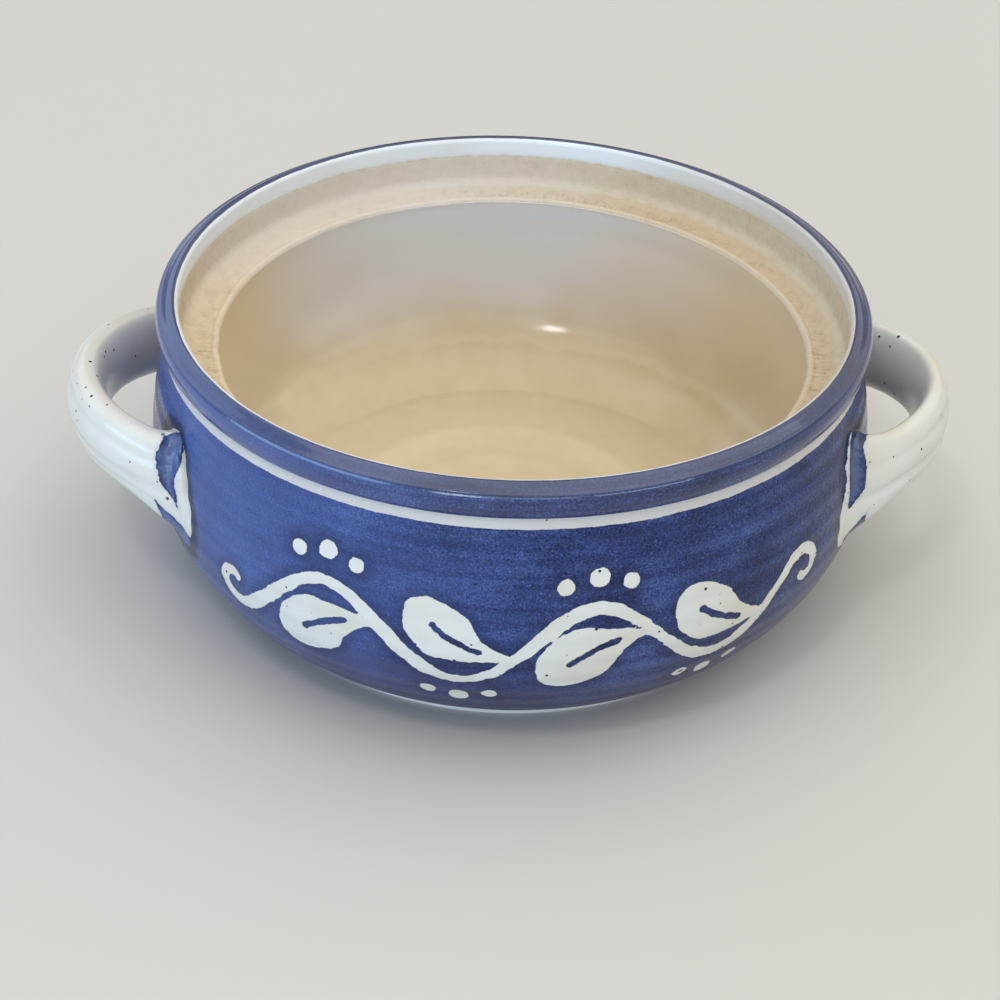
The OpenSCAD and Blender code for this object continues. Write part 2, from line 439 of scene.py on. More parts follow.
class Finish:
    """A material in the making. Its methods add nodes and return what they give as fields."""

    def __init__(self, name):
        self.material = bpy.data.materials.new(name)
        self.material.use_nodes = True
        self.tree = self.material.node_tree
        self.shader = self.tree.nodes["Principled BSDF"]
        self.where = self.node("ShaderNodeTexCoord", {}, {}, "Object")

    def connect(self, value, socket):
        if isinstance(value, Field):
            self.tree.links.new(value.socket, socket)
        elif isinstance(value, tuple) and len(value) == 3 and socket.type == "RGBA":
            socket.default_value = (*value, 1.0)
        else:
            socket.default_value = value

    def node(self, kind, settings, inputs, output=0):
        """Any node: first its settings, a ramp's stops among them, then its sockets' values or links."""
        made = self.tree.nodes.new(kind)
        for name, value in settings.items():
            if name == "stops":
                set_stops(made.color_ramp.elements, value)
            else:
                setattr(made, name, value)
        for name, value in inputs.items():
            self.connect(value, made.inputs[name])
        return Field(self, made.outputs[output])

    def math(self, operation, first, second):
        return self.node("ShaderNodeMath", {"operation": operation}, {0: first, 1: second})

    def mix(self, below, above, share):
        """One colour over another, by a share from 0 to 1."""
        return self.node("ShaderNodeMix", {"data_type": "RGBA"}, {0: share, 6: below, 7: above}, 2)

    def ramp(self, value, *stops):
        """A colour read off a row of stops, each a place from 0 to 1 and a colour."""
        return self.node("ShaderNodeValToRGB", {"stops": stops}, {"Fac": value})

    def kept(self, name):
        """A number that the mesh keeps at its points."""
        return self.node("ShaderNodeAttribute", {"attribute_name": name}, {}, "Fac")

    def noise(self, size, detail=2.0, stretch=None, place=None):
        """Noise around 0, mostly from -0.3 to 0.3, with features of about that size in millimetres."""
        place = place or self.where
        if stretch is not None:
            place = self.node("ShaderNodeVectorMath", {"operation": "MULTIPLY"}, {0: place, 1: stretch})
        inputs = {"Vector": place, "Scale": 1 / (size * MM), "Detail": detail}
        return self.node("ShaderNodeTexNoise", {}, inputs) - 0.5

    def specks(self, spacing, radius, share):
        """Round specks of up to that radius, in a share of cells that lie that spacing apart."""
        near = self.node("ShaderNodeTexVoronoi", {}, {"Vector": self.where, "Scale": 1 / (spacing * MM)})
        chance = self.node("ShaderNodeSeparateColor", {}, {"Color": near.beside("Color")})
        size = chance.beside("Green") * radius
        return (size - near * spacing).step(-0.1 * radius, 0.25 * radius) * (share - chance).step(0.0, 0.001)

    def done(self, colour, roughness, height, specular=0.5, clear=0.0):
        """Links the shader. The height is in millimetres, and a Bump node turns it into a normal. A share of
        a clear layer adds gloss."""
        self.shader.inputs["Specular IOR Level"].default_value = specular
        self.shader.inputs["Coat Weight"].default_value = clear
        bump = {"Height": height, "Distance": MM, "Strength": 1.0}
        self.connect(colour, self.shader.inputs["Base Color"])
        self.connect(roughness, self.shader.inputs["Roughness"])
        self.connect(self.node("ShaderNodeBump", {}, bump, "Normal"), self.shader.inputs["Normal"])
        print(self.material.name, "has", len(self.tree.nodes), "nodes")
        return self.material


# %% [markdown]
# ## The cobalt glaze
# Cobalt over a stony glaze is never one blue. Close up it is a fine speckle of light and dark, with faint
# level bands from the wheel. Low on the belly it is darker and redder: partly glaze that collects there, and
# partly painted shade and a dark painted reflection. Its left side is painted lighter, as light falling
# there, and its right side darker, as painted shade. Belly, rim and the dabs on the handles share this one
# recipe, and it reads object coordinates, so it runs on from piece to piece.

# %% Blue and white recipes
BLUE_DARK = (0.005, 0.008, 0.04)
BLUE = (0.02, 0.039, 0.155)
BLUE_LIGHT = (0.085, 0.145, 0.4)
# A dark red blue: glaze that collects low and in the groove, with painted shade there as well
BLUE_POOL_AND_SHADE = (0.024, 0.015, 0.066)
WHITE = (0.73, 0.735, 0.71)
WHITE_WARM = (0.69, 0.65, 0.57)
# Stretches noise into level streaks
LEVEL = (0.03, 0.03, 1.0)


def towards(f, axis, low, high):
    """1 on the side of the dish that an axis points to, 0 on the other side, and an uneven change between two
    shares of the belly's radius."""
    far = f.node("ShaderNodeSeparateXYZ", {}, {"Vector": f.where}, axis) * (1 / (belly_r * MM))
    return (far + f.noise(40.0) * 0.4).step(low, high)


def cobalt(f):
    """The blue glaze's colour and its surface height in millimetres. It is painted lighter on the left, as
    light falling there, and darker on the right, as painted shade."""
    grain = f.noise(0.36, 1.0)
    cloud = f.noise(13.0, 3.0)
    bands = f.noise(1.9, 3.0, LEVEL)
    tone = 0.5 + grain * 1.05 + cloud * 0.75 + bands * 0.6
    colour = f.ramp(tone, (0.2, BLUE_DARK), (0.47, BLUE), (0.95, BLUE_LIGHT))
    colour = f.mix(colour, BLUE_DARK, f.specks(0.75, 0.34, 0.6) * 0.65)
    colour = f.mix(colour, BLUE_LIGHT, f.specks(0.95, 0.3, 0.35) * 0.6)
    # Painted light and shade: light blue is mixed in on the left and dark blue on the right
    colour = f.mix(BLUE_LIGHT, colour, towards(f, "X", -0.9, 0.1) * 0.6 + 0.4)
    colour = f.mix(colour, BLUE_DARK, towards(f, "X", 0.3, 0.9) * 0.2)
    # Darker and redder low on the belly: partly glaze that collects there, partly painted shade and a dark
    # painted reflection
    low = 1 - (f.kept("height") + cloud * 12).step(3.0, 33.0)
    height = f.noise(0.8, 3.0) * 0.13
    return f.mix(colour, BLUE_POOL_AND_SHADE, low * 0.8), height


def white(f):
    """The white glaze's colour: cool where it is thick and warm where it is thin, with a few dark specks."""
    colour = f.mix(WHITE, WHITE_WARM, (f.noise(14.0) * 2 + 0.4).step(0.0, 1.0))
    fine = f.specks(1.8, 0.42, 0.35)
    return f.mix(colour, BLUE_DARK, f.specks(6.0, 0.75, 0.3).larger(fine))


def ragged(f, distance):
    """A brush's edge: 1 where a distance in millimetres is above 0, wavering and frayed by noise."""
    return (distance + f.noise(3.2) * 1.2 + f.noise(1.0, 2.0) * 0.45).step(-0.08, 0.08)


# %% [markdown]
# ## Pulled straps and their roots
# Each handle is a strap pulled from a lump of wet clay, bent into a loop and pressed on to the wall with a
# thumb. In the frame a strap and its two roots are separate pieces, but on the dish they run into each other.
# So one grid is made for the whole loop, from wall to wall, and it is cut into three only at the end. The
# normals, the glaze and the painting then run on over the cuts.

# %% What differs from hand to hand
@dataclass
class Root:
    """How one end of a strap spreads on the wall, in millimetres. The outline goes once round the strap in 12
    places, each so far to the outside of the loop and so far up from the strap's middle line. The thumb mark
    lies between two edges, given at a few heights by their distance from the outline, and a border of blue
    lies along the outline. Towards the top of the strap the mark ends at an angle's cosine."""
    outline: tuple
    heights: tuple
    strap_edge: tuple
    wall_edge: tuple
    border: tuple
    top: float


@dataclass
class Hand:
    """One handle: its side, half the span of its loop, how far its middle lies from the frame's strap in
    height, half its thickness and height, its lean, the drop from front to back, the power that shapes its
    outer face, how much slimmer it is below, and its two roots."""
    side: str
    sign: int
    half_span: float
    lift: float
    thick: float
    tall: float
    lean: float
    drop: float
    square: float
    lobe: float
    front: Root
    back: Root


slim_root = Root(
    outline=(
        (7.1, -0.6), (4.9, 4.4), (2.3, 7.4), (-0.3, 9.0), (-5.1, 8.0), (-8.1, 5.4),
        (-9.0, 0.4), (-8.5, -7.1), (-6.0, -13.6), (-0.5, -17.1), (6.7, -16.6), (9.7, -8.1),
    ),
    heights=(-8.7, -4.7, 0.3, 3.3, 6.3, 9.3),
    strap_edge=(2.0, 4.6, 6.6, 7.2, 6.6, 3.6),
    wall_edge=(5.0, 4.4, 3.5, 2.6, 1.2, -0.6),
    border=(0.3,) * 6,
    top=0.05,
)
broad_root = Root(
    outline=(
        (13.7, 2.3), (12.7, 8.8), (10.6, 13.3), (6.9, 14.7), (1.4, 12.5), (-3.6, 8.8),
        (-5.1, 2.3), (-4.6, -3.7), (-1.6, -8.2), (4.4, -10.7), (12.9, -11.7), (14.8, -5.2),
    ),
    heights=(-2.7, -1.3, 1.3, 6.3, 11.3, 14.3),
    strap_edge=(3.0, 6.2, 7.6, 8.0, 7.2, 6.0),
    wall_edge=(5.0, 3.6, 3.2, 3.0, 2.8, 1.8),
    border=(0.5, 0.8, 1.4, 1.7, 1.7, 1.7),
    top=-0.4,
)
hands = [
    Hand(
        "left", -1, half_span=31.7, lift=-1.55, thick=4.5, tall=8.0, lean=-0.13, drop=-3.3,
        square=0.72, lobe=0.25, front=slim_root, back=broad_root,
    ),
    Hand(
        "right", 1, half_span=27.8, lift=-2.75, thick=3.8, tall=7.9, lean=-0.05, drop=-1.3,
        square=0.9, lobe=0.0, front=broad_root, back=slim_root,
    ),
]
print(len(hands), "handles, each with a front and a back root")

# %% [markdown]
# The middle line of a loop is about half an ellipse, and it rises towards the outside. An oval is carried
# along it, squared on its outer face, with soft creases there where the pulling fingers ran. Towards the wall
# the oval opens like a trumpet: a quarter circle of flare leads it over to the root's outline, which lies on
# the wall itself.

# %% Loop and section
# Where a loop's ellipse has its middle, its rise towards the outside, the power of its bend, and its points
LOOP_X, LOOP_RISE, LOOP_BEND, LOOP_POINTS = 69.7, 3.3, 1.2, 1201
# Power and slant of the inner face, and where the strap gets slimmer below, by shares of its height
INNER_SQUARE, INNER_SLANT, LOBE_AT, LOBE_SOFT = 0.95, 0.35, -0.28, 0.3
# Place of each crease as a share of the height, its depth and its width
CREASES = ((0.45, 0.3, 0.16), (LOBE_AT, 0.7, 0.15))


def loop(hand):
    """The middle line of a strap, as far as it is outside the wall: half an ellipse, with its cosine to a
    power, that drops towards the back and rises towards the outside."""
    low, high = corners(hand.side + "_handle")
    turn = np.linspace(-math.pi / 2, math.pi / 2, LOOP_POINTS)
    reach = np.abs([low[0], high[0]]).max() - hand.thick - LOOP_X
    outward = np.clip(np.cos(turn), 0, 1) ** LOOP_BEND
    z = (low[2] + high[2]) / 2 + hand.lift + hand.drop * np.sin(turn) + LOOP_RISE * outward
    line = np.stack([LOOP_X + reach * outward, hand.half_span * np.sin(turn), z], 1)
    return line[np.hypot(line[:, 0], line[:, 1]) > outer_r(z) + coat]


def squared(wave, power):
    """A sine or cosine with its sign kept and its size taken to a power, to fill an oval's corners."""
    return np.sign(wave) * np.abs(wave) ** power


def strap_section(hand, angle):
    """Half an oval's thickness and height round a strap: squared outside, with creases there, each a hollow
    at a share of the height with a depth and a width, and slimmer below the lower one. The inner face slants,
    so that the strap is thinner at the top, and the whole section leans."""
    power = np.where(np.cos(angle) > 0, hand.square, INNER_SQUARE)
    u = hand.thick * squared(np.cos(angle), power)
    v = hand.tall * squared(np.sin(angle), power)
    u = u - np.clip(np.cos(angle), -1, 0) * INNER_SLANT * hand.thick * v / hand.tall
    outer = np.clip(3 * np.cos(angle), 0, 1)
    u = u - outer * hand.lobe * hand.thick * np.clip((LOBE_AT - v / hand.tall) / LOBE_SOFT, 0, 1)
    for share, deep, wide in CREASES:
        u = u - outer * deep * hump((v / hand.tall - share) / wide)
    c, s = math.cos(hand.lean), math.sin(hand.lean)
    return u * c + v * s, v * c - u * s


for hand in hands:
    print(f"{hand.side} loop: {lengths(loop(hand))[-1]:.1f} mm outside the wall")

# %% Flare and whole handle
# Length of a root along the loop, reach of its flare, and how deep it sinks into the wall
ROOT_LEN, FLARE, SINK = 8.0, 12.0, 0.4
# Points round a strap, rows of a root and of a strap, and the power that crowds a root's rows at the wall
STRAP_COLUMNS, ROOT_ROWS, STRAP_ROWS, CROWDED = 180, 36, 110, 1.7


def smooth_ring(stops, count):
    """A closed curve through some stops: cubics between them, with slopes from their neighbours."""
    stops = np.array(stops)
    at = np.linspace(0, len(stops), count, endpoint=False)
    k, f = at.astype(int), (at % 1)[:, None]
    a, b, c, d = (stops[(k + step) % len(stops)] for step in (-1, 0, 1, 2))
    square, cube = a - 2.5 * b + 2 * c - d / 2, 1.5 * b - a / 2 - 1.5 * c + d / 2
    return b + f * (c - a) / 2 + f ** 2 * square + f ** 3 * cube


def outline_on_wall(root, end):
    """Where a root meets the wall: its outline round the end of the middle line, bent round the wall and sunk
    a little into it. The directions straight out from the wall come with it."""
    across, up = smooth_ring(root.outline, STRAP_COLUMNS).T
    turn = np.arctan2(end[1], end[0]) + np.sign(end[1]) * across / belly_r
    out = np.stack([np.cos(turn), np.sin(turn), 0 * turn], 1)
    z = end[2] + up
    return out * (outer_r(z) + coat - SINK)[:, None] + np.stack([0 * z, 0 * z, z], 1), out


def tube(hand):
    """The grid of a whole handle, from the front of the wall to the back, and its middle line. The strap's
    section leads over to the outline on the wall by a quarter circle."""
    line = loop(hand)
    far = lengths(line)
    near = ROOT_LEN * np.linspace(0, 1, ROOT_ROWS) ** CROWDED
    middle = np.linspace(ROOT_LEN, far[-1] - ROOT_LEN, STRAP_ROWS)[1:-1]
    at = np.concatenate([near, middle, far[-1] - near[::-1]])
    centre = read_off(at, far, line)
    along = unit(read_off(at, far, np.gradient(line, axis=0)))
    out = unit(np.cross(along, [0, 0, 1]))
    up = np.cross(out, along)
    u, v = strap_section(hand, around(STRAP_COLUMNS)[0])
    points = centre[:, None] + out[:, None] * u[None, :, None] + up[:, None] * v[None, :, None]
    for root, end, away in ((hand.front, centre[0], at), (hand.back, centre[-1], far[-1] - at)):
        flare = 1 - np.sqrt(1 - np.clip(1 - away / FLARE, 0, 1) ** 2)
        outline, outward = outline_on_wall(root, end)
        spread = outline[None] + outward[None] * away[:, None, None]
        points = points + flare[:, None, None] * (spread - points)
    return points, centre


# %% [markdown]
# A thumb pressed each end on, and the hollow that it left took the blue of the wall. The hollow and the ridge
# beside it are pushed along the normals, and the blue is kept as a distance, like the vine. More blue lies
# under the strap where it meets the wall.

# %% Thumb marks and blue dabs
# Depth of a thumb mark, and the distance over which it deepens
THUMB_DEEP, THUMB_SOFT = 1.0, 2.0
# Height of the ridge beside it, its distance from the wall, and its width
RIDGE, RIDGE_AT, RIDGE_W = 0.5, 2.0, 1.2
# The blue under a strap: height of its upper edge, reach from the wall, and the edge's slope
UNDER_TOP, UNDER_REACH, UNDER_SLOPE = -4.9, 10.0, 0.8
# Millimetres that stand for 1 of the cosine round a strap, and a distance that means no blue
PER_TURN, NO_BLUE = 8.0, -20.0


def grid_normals(points, centre):
    """Unit normals of a grid that closes round its columns: the cross product of the steps between
    neighbours, turned away from the middle line."""
    normals = unit(np.cross(np.roll(points, -1, 1) - np.roll(points, 1, 1), np.gradient(points, axis=0)))
    return normals * np.sign((normals * (points - centre[:, None])).sum())


def from_wall(points):
    """Distance of each point from the first row, along its own column."""
    steps = np.linalg.norm(np.diff(points, axis=0), axis=2)
    return np.concatenate([np.zeros((1, points.shape[1])), np.cumsum(steps, 0)])


def thumb_mark(root, away, up, angle):
    """Distance inside a thumb mark: from its edges on the strap and at the wall, and the strap's top."""
    strap_side = np.interp(up, root.heights, root.strap_edge) - away
    wall_side = away - np.interp(up, root.heights, root.wall_edge)
    return np.minimum(np.minimum(strap_side, wall_side), PER_TURN * (np.cos(angle) - root.top))


def worked_handle(hand):
    """The grid of a handle with its thumb marks, its normals, and how far each point is inside the blue."""
    points, centre = tube(hand)
    angle = around(STRAP_COLUMNS)
    outer = np.clip(4 * np.cos(angle) + 0.6, 0, 1)
    lift = np.zeros(points.shape[:2])
    blue = np.full(points.shape[:2], NO_BLUE)
    from_front, from_back = from_wall(points), from_wall(points[::-1])[::-1]
    for root, end, away in ((hand.front, centre[0], from_front), (hand.back, centre[-1], from_back)):
        up = points[..., 2] - end[2]
        mark = thumb_mark(root, away, up, angle)
        pressed = np.clip(mark / THUMB_SOFT, 0, 1)
        ridge = hump((away - RIDGE_AT) / RIDGE_W)
        lift += outer * RIDGE * ridge - THUMB_DEEP * pressed ** 2 * (3 - 2 * pressed)
        under = np.minimum(UNDER_REACH - away, UNDER_TOP - UNDER_SLOPE * (UNDER_REACH - away) - up)
        blue = np.maximum.reduce([blue, mark, under, np.interp(up, root.heights, root.border) - away])
    points = points + grid_normals(points, centre) * lift[..., None]
    normals = grid_normals(points, centre)
    mirror = np.array([hand.sign, 1, 1])
    return points * mirror, normals * mirror, blue


# %% White finish of the handles
BLUE_THIN = (0.13, 0.17, 0.27)
BLUE_PALE = (0.4, 0.5, 0.64)


def white_glaze():
    """White glaze with blue dabs on the roots: thin in the middle, dark at the edge, a tint beside them."""
    f = Finish("white_glaze")
    blue, height = cobalt(f)
    reach = f.kept("paint") + f.noise(2.2, 3.0) * 1.6
    thin = reach.step(0.6, 1.6) * (1 - reach.step(2.4, 4.0))
    blue = f.mix(blue, BLUE_THIN, thin * 0.5)
    blue = f.mix(blue, BLUE_DARK, (1 - reach.step(0.0, 0.9)) * 0.8)
    dab = ragged(f, reach)
    tint = (reach + f.noise(1.2, 3.0) * 2).step(-1.3, 0.3) * 0.5
    colour = f.mix(f.mix(white(f), BLUE_PALE, tint), blue, dab)
    return f.done(colour, 0.2 + f.noise(5.0) * 0.1, f.noise(3.0) * 0.03 + height * dab)


# %% Cut a handle into strap and roots
def capped(grid, gather=False):
    """A stretch of a grid with one more row at each end to close it: the end row again, or its middle."""
    ends = [np.broadcast_to(row.mean(0) if gather else row, row.shape)[None] for row in (grid[0], grid[-1])]
    return np.concatenate([ends[0], grid, ends[1]])


handle_finish = white_glaze()
for hand in hands:
    points, normals, blue = worked_handle(hand)
    cuts = {
        "pulled_strap": ("handle", slice(ROOT_ROWS - 1, len(points) - ROOT_ROWS + 1)),
        "front_luted_root": ("front_root", slice(0, ROOT_ROWS)),
        "back_luted_root": ("back_root", slice(len(points) - ROOT_ROWS, len(points))),
    }
    for word, (node, rows) in cuts.items():
        grid = capped(points[rows], gather=True)
        name = hand.side + "_" + word
        fields = {"paint": capped(blue[rows]), "height": grid[..., 2]}
        mesh = shell(name, grid, poles=(True, True), fields=fields, normals=capped(normals[rows]))
        place(name, mesh, handle_finish, "white_glaze", hand.side + "_" + node)

# %% [markdown]
# ## The painted vine
# White brushwork runs round the belly between the handles: a wavy stem, a leaf in each hollow and dots
# outside each bend. It could be an image, but a distance is better: every point of the belly keeps how far it
# lies inside the nearest brush stroke, and the material turns that into an edge as sharp and as frayed as it
# likes.

# %% Brush strokes as rows of discs
# The stem: its height on the wall, its rise, the length of a wave and half its run
VINE_T, VINE_RISE, VINE_WAVE, VINE_HALF = 36.0, 9.0, 54.0, 60.0
# Radius of the brush along it, and the step from disc to disc
STEM_R, STEM_STEP = 1.4, 0.5
# A leaf: its radius, where it is widest, the power of its swelling and its bow
LEAF_R, LEAF_WIDEST, LEAF_POWER, LEAF_BOW = 6.2, 0.66, 1.3, 0.16
# Where its foot lies on the wave, how far back its tip lies, and how far across the stem
LEAF_FOOT, LEAF_BACK, LEAF_ACROSS = 0.21, 8.0, (7.5, 9.0)
# The slit in a leaf, and the dots and curls of the stem
SLIT_R, SLIT_FROM, SLIT_TO = 0.75, 0.3, 0.78
DOT_R, DOT_APART, DOT_OUT, DOT_SINK = 1.9, 6.4, 6.8, 1.6
CURL_R, CURL_TURN = 5.5, -4.4
brush = np.random.default_rng(11)


def vine_t(s):
    """Height of the stem on the wall, a sine of the distance round the belly."""
    return VINE_T + VINE_RISE * np.sin(2 * math.pi * s / VINE_WAVE)


def discs(points, radius):
    """A stroke: places on the wall with the brush's radius at each."""
    return np.column_stack([points, np.broadcast_to(radius, len(points))])


def leaf(base, tip, bow):
    """A pressed leaf and the slit along it: the brush sets down thin, swells and lifts off round."""
    base, tip = np.array(base), np.array(tip)
    along = tip - base
    side = np.array([-along[1], along[0]]) * bow
    line = bezier(base, base + along * 0.35 + side, base + along * 0.7 + side, tip)
    u = np.linspace(0, 1, len(line))
    lift_off = 1 - LEAF_WIDEST
    swell = (u / LEAF_WIDEST) ** LEAF_POWER
    swell = swell * np.clip((1 - u) / lift_off, 0, 1) ** (lift_off / LEAF_WIDEST * LEAF_POWER)
    slit = (u > SLIT_FROM) & (u < SLIT_TO)
    return discs(line, 0.5 + LEAF_R * brush.uniform(0.9, 1.08) * swell), discs(line[slit], SLIT_R)


def curl(centre, start, turn, size):
    """A tendril that winds in: a spiral whose radius shrinks evenly with the angle."""
    u = np.linspace(0, 1, 120)
    angle = start + turn * u
    spiral = np.stack([np.cos(angle), np.sin(angle)], 1) * (size * (1 - 0.75 * u))[:, None]
    return discs(np.array(centre) + spiral, STEM_R * (1 - 0.35 * u))


# %% Lay out one field of the vine
strokes, slits = [], []
s = np.arange(-VINE_HALF, VINE_HALF, STEM_STEP)
strokes.append(discs(np.stack([s, vine_t(s)], 1), STEM_R + 0.25 * np.sin(s / 5.3)))
for k in range(-2, 2):
    middle = (k + 0.5) * VINE_WAVE / 2
    outward = 1 if k % 2 == 0 else -1
    foot = middle + LEAF_FOOT * VINE_WAVE
    tip = (middle - LEAF_BACK, VINE_T - outward * brush.uniform(*LEAF_ACROSS))
    pressed, slit = leaf((foot, vine_t(foot)), tip, -outward * LEAF_BOW)
    strokes.append(pressed)
    slits.append(slit)
    for step in (-1, 0, 1):
        dot = (middle + step * DOT_APART, vine_t(middle) + outward * (DOT_OUT - DOT_SINK * abs(step)))
        strokes.append(discs(np.array([dot]), DOT_R * (1.1 - 0.2 * abs(step))))
lean = math.atan2(vine_t(VINE_HALF) - vine_t(VINE_HALF - STEM_STEP), STEM_STEP)
for end in (-1, 1):
    start = lean + end * math.pi / 2
    stem_end = np.array([end * VINE_HALF, vine_t(end * VINE_HALF)])
    centre = stem_end - CURL_R * np.array([math.cos(start), math.sin(start)])
    strokes.append(curl(centre, start, CURL_TURN, CURL_R))
print(len(strokes), "strokes and", len(slits), "slits in each field")

# %% Distance inside the strokes
NO_STROKE = -50.0


def inside(marks, s, t):
    """How far a place lies inside the nearest stroke: a disc's radius less the distance to its centre."""
    found = np.full(s.shape, NO_STROKE)
    for mark in marks:
        away = np.hypot(s[..., None] - mark[:, 0], t[..., None] - mark[:, 1])
        found = np.maximum(found, (mark[:, 2] - away).max(-1))
    return found


def vine(path, columns):
    """Distance inside the brushwork over the belly: the same field on the front and on the back."""
    s = belly_r * (around(columns)[0, : columns // 2] - math.pi / 2)
    s, t = np.meshgrid(s, lengths(path))
    field = np.minimum(inside(strokes, s, t), -inside(slits, s, t))
    return np.concatenate([field, field], 1)


# %% [markdown]
# ## The blue belly
# The belly's coat is the largest surface outside. The wheel leaves shallow bands on it that climb like a
# screw, and the glaze thins to a rounded edge above the foot. Both are in the mesh, because a bump would not
# show in the outline. The wall is fine enough for the brushwork's distance to be read off it smoothly.

# %% Belly shape
# Rise from band to band, their depth, and how far the darker blue beside a root reaches, glaze that collects
# there and painted shade
THROW_STEP, THROW_DEEP, ROOT_DARK_W = 5.2, 0.07, 2.2
# Heights over which the bands fade out at the foot and at the neck
FADE_FOOT, FADE_NECK = 3.0, 2.0


def throwing(path, columns):
    """Bands of the wheel: a sine of the distance up the wall that moves on by one band in each turn, and
    fades out at the foot and at the neck."""
    angle = around(columns)
    up = lengths(path)[:, None]
    wave = np.sin(2 * math.pi * up / THROW_STEP + angle + 0.6 * np.sin(2 * angle))
    z = path[:, 1:]
    fade = np.clip((z - foot_bare) / FADE_FOOT, 0, 1) * np.clip((neck_z - z) / FADE_NECK, 0, 1)
    return THROW_DEEP * wave * fade


def glaze_and_shade_by_roots(path, columns):
    """Where the wall is darker beside a root, partly glaze that collects at the join and partly painted
    shade: 1 at its outline, falling with the square of the distance.
    """
    angle = around(columns)[..., None]
    pool = np.zeros((len(path), columns))
    for hand in hands:
        line = loop(hand)
        for root, end in ((hand.front, line[0]), (hand.back, line[-1])):
            x, y, z = outline_on_wall(root, end)[0][::3].T
            round_wall = belly_r * np.angle(np.exp(1j * (angle - np.arctan2(y, hand.sign * x))))
            away = np.hypot(round_wall, path[:, 1][:, None, None] - z).min(-1)
            pool = np.maximum(pool, hump(away / ROOT_DARK_W))
    return pool


def rolled_edge(path):
    """Thickness of the belly's coat: it thins to a rounded edge at the foot."""
    return thinned(path[:, 1:] - foot_bare, over=0.8, power=0.5)


belly_mesh = coat_over(
    "blue_belly_coat", belly_path, BELLY_COLUMNS, step=0.7, relief=throwing,
    fields={"paint": vine, "relief": throwing, "pool": glaze_and_shade_by_roots}, thickness=rolled_edge,
)

# %% Belly finish
PALE = (0.62, 0.595, 0.59)


def pale_line(f):
    """1 on the pale line round the neck: between its two heights, with frayed edges."""
    height = f.kept("height") + f.noise(4.0) * 0.5 + f.noise(0.7) * 0.3
    return (height - neck_z).step(-0.07, 0.07) * (line_top - height).step(-0.07, 0.07)


def blue_belly():
    """Cobalt with white brushwork, darker beside it, and the frayed lower edge of the pale line."""
    f = Finish("blue_glaze")
    blue, height = cobalt(f)
    blue = f.mix(blue, BLUE_LIGHT, (f.kept("relief") * 4 + 0.1).step(0.0, 1.0) * 0.3)
    # Darker blue beside the roots: partly glaze that collects at the join, partly painted shade
    blue = f.mix(blue, BLUE_DARK, (f.kept("pool") + f.noise(1.5) * 0.3).step(0.1, 0.9) * 0.8)
    beside = f.kept("paint")
    blue = f.mix(blue, BLUE_DARK, (beside + f.noise(4.0) * 3).step(-3.5, 0.0) * 0.4)
    painted = ragged(f, beside)
    colour = f.mix(f.mix(blue, white(f), painted), PALE, pale_line(f))
    roughness = 0.16 + f.noise(3.0) * 0.08
    return f.done(colour, roughness, height * (1 - painted * 0.5) - painted * 0.03, 0.3)


place("blue_belly_coat", belly_mesh, blue_belly(), "blue_glaze", "belly_glaze")

# %% [markdown]
# ## The pale line and the rolled rim
# A pale line rings the neck, and above it the rim rolls out over a dark groove. The rim isn't one round: a
# sloping band comes down from the crest to a soft edge, and a bead lies under that. In CAD it is two quarters
# of ellipses, so the bead and the band are a relief on them.

# %% Rim shape
# Height of the bead, where its upper edge lies as a share of the way to the crest, and the edge's width
BEAD_HIGH, EDGE_AT, EDGE_W = 0.36, 0.69, 0.055
# The same for the hollow of the band, and the height and number of the fine lines
BAND_DEEP, BAND_AT, BAND_W = 0.16, 0.8, 0.09
LINES_HIGH, LINES = 0.03, 10


def rim_relief(path, columns):
    """Hand-made detail of the rim by the share of the way from groove to crest: a bead that swells and then
    drops at its upper edge, a hollow for the band above it, and fine lines from the sponge on the bead."""
    share = (lengths(path) / lengths(path)[-1])[:, None]
    rise = np.clip(share / EDGE_AT, 0, 1)
    drop = np.clip((EDGE_AT + EDGE_W - share) / EDGE_W, 0, 1)
    bead = BEAD_HIGH * rise ** 2 * drop ** 2 * (3 - 2 * drop)
    band = -BAND_DEEP * hump((share - BAND_AT) / BAND_W)
    lines = LINES_HIGH * np.sin(2 * math.pi * share * LINES) * np.clip(1 - share / EDGE_AT, 0, 1)
    return bead + band + lines


line_mesh = coat_over("pale_neck_line", line_path, BOWL_COLUMNS, step=0.3)
rim_mesh = coat_over("rolled_rim_coat", rim_path, BOWL_COLUMNS, step=0.16, relief=rim_relief)

# %% Line and rim finishes
# Grey of the rim's upper band and crest: thin glaze with a painted sheen of the sky
RIM_GREY_SHEEN = (0.06, 0.072, 0.14)


def neck_line():
    """Pale glaze, blue where its frayed edges let the neighbours in."""
    f = Finish("pale_line")
    blue, height = cobalt(f)
    pale = f.mix(PALE, WHITE, (f.noise(6.0) + 0.3).step(0.0, 1.0) * 0.4)
    pale = f.mix(pale, BLUE_DARK, f.specks(2.6, 0.22, 0.12))
    line = pale_line(f)
    return f.done(f.mix(blue, pale, line), 0.28 + f.noise(4.0) * 0.1, height * 0.6)


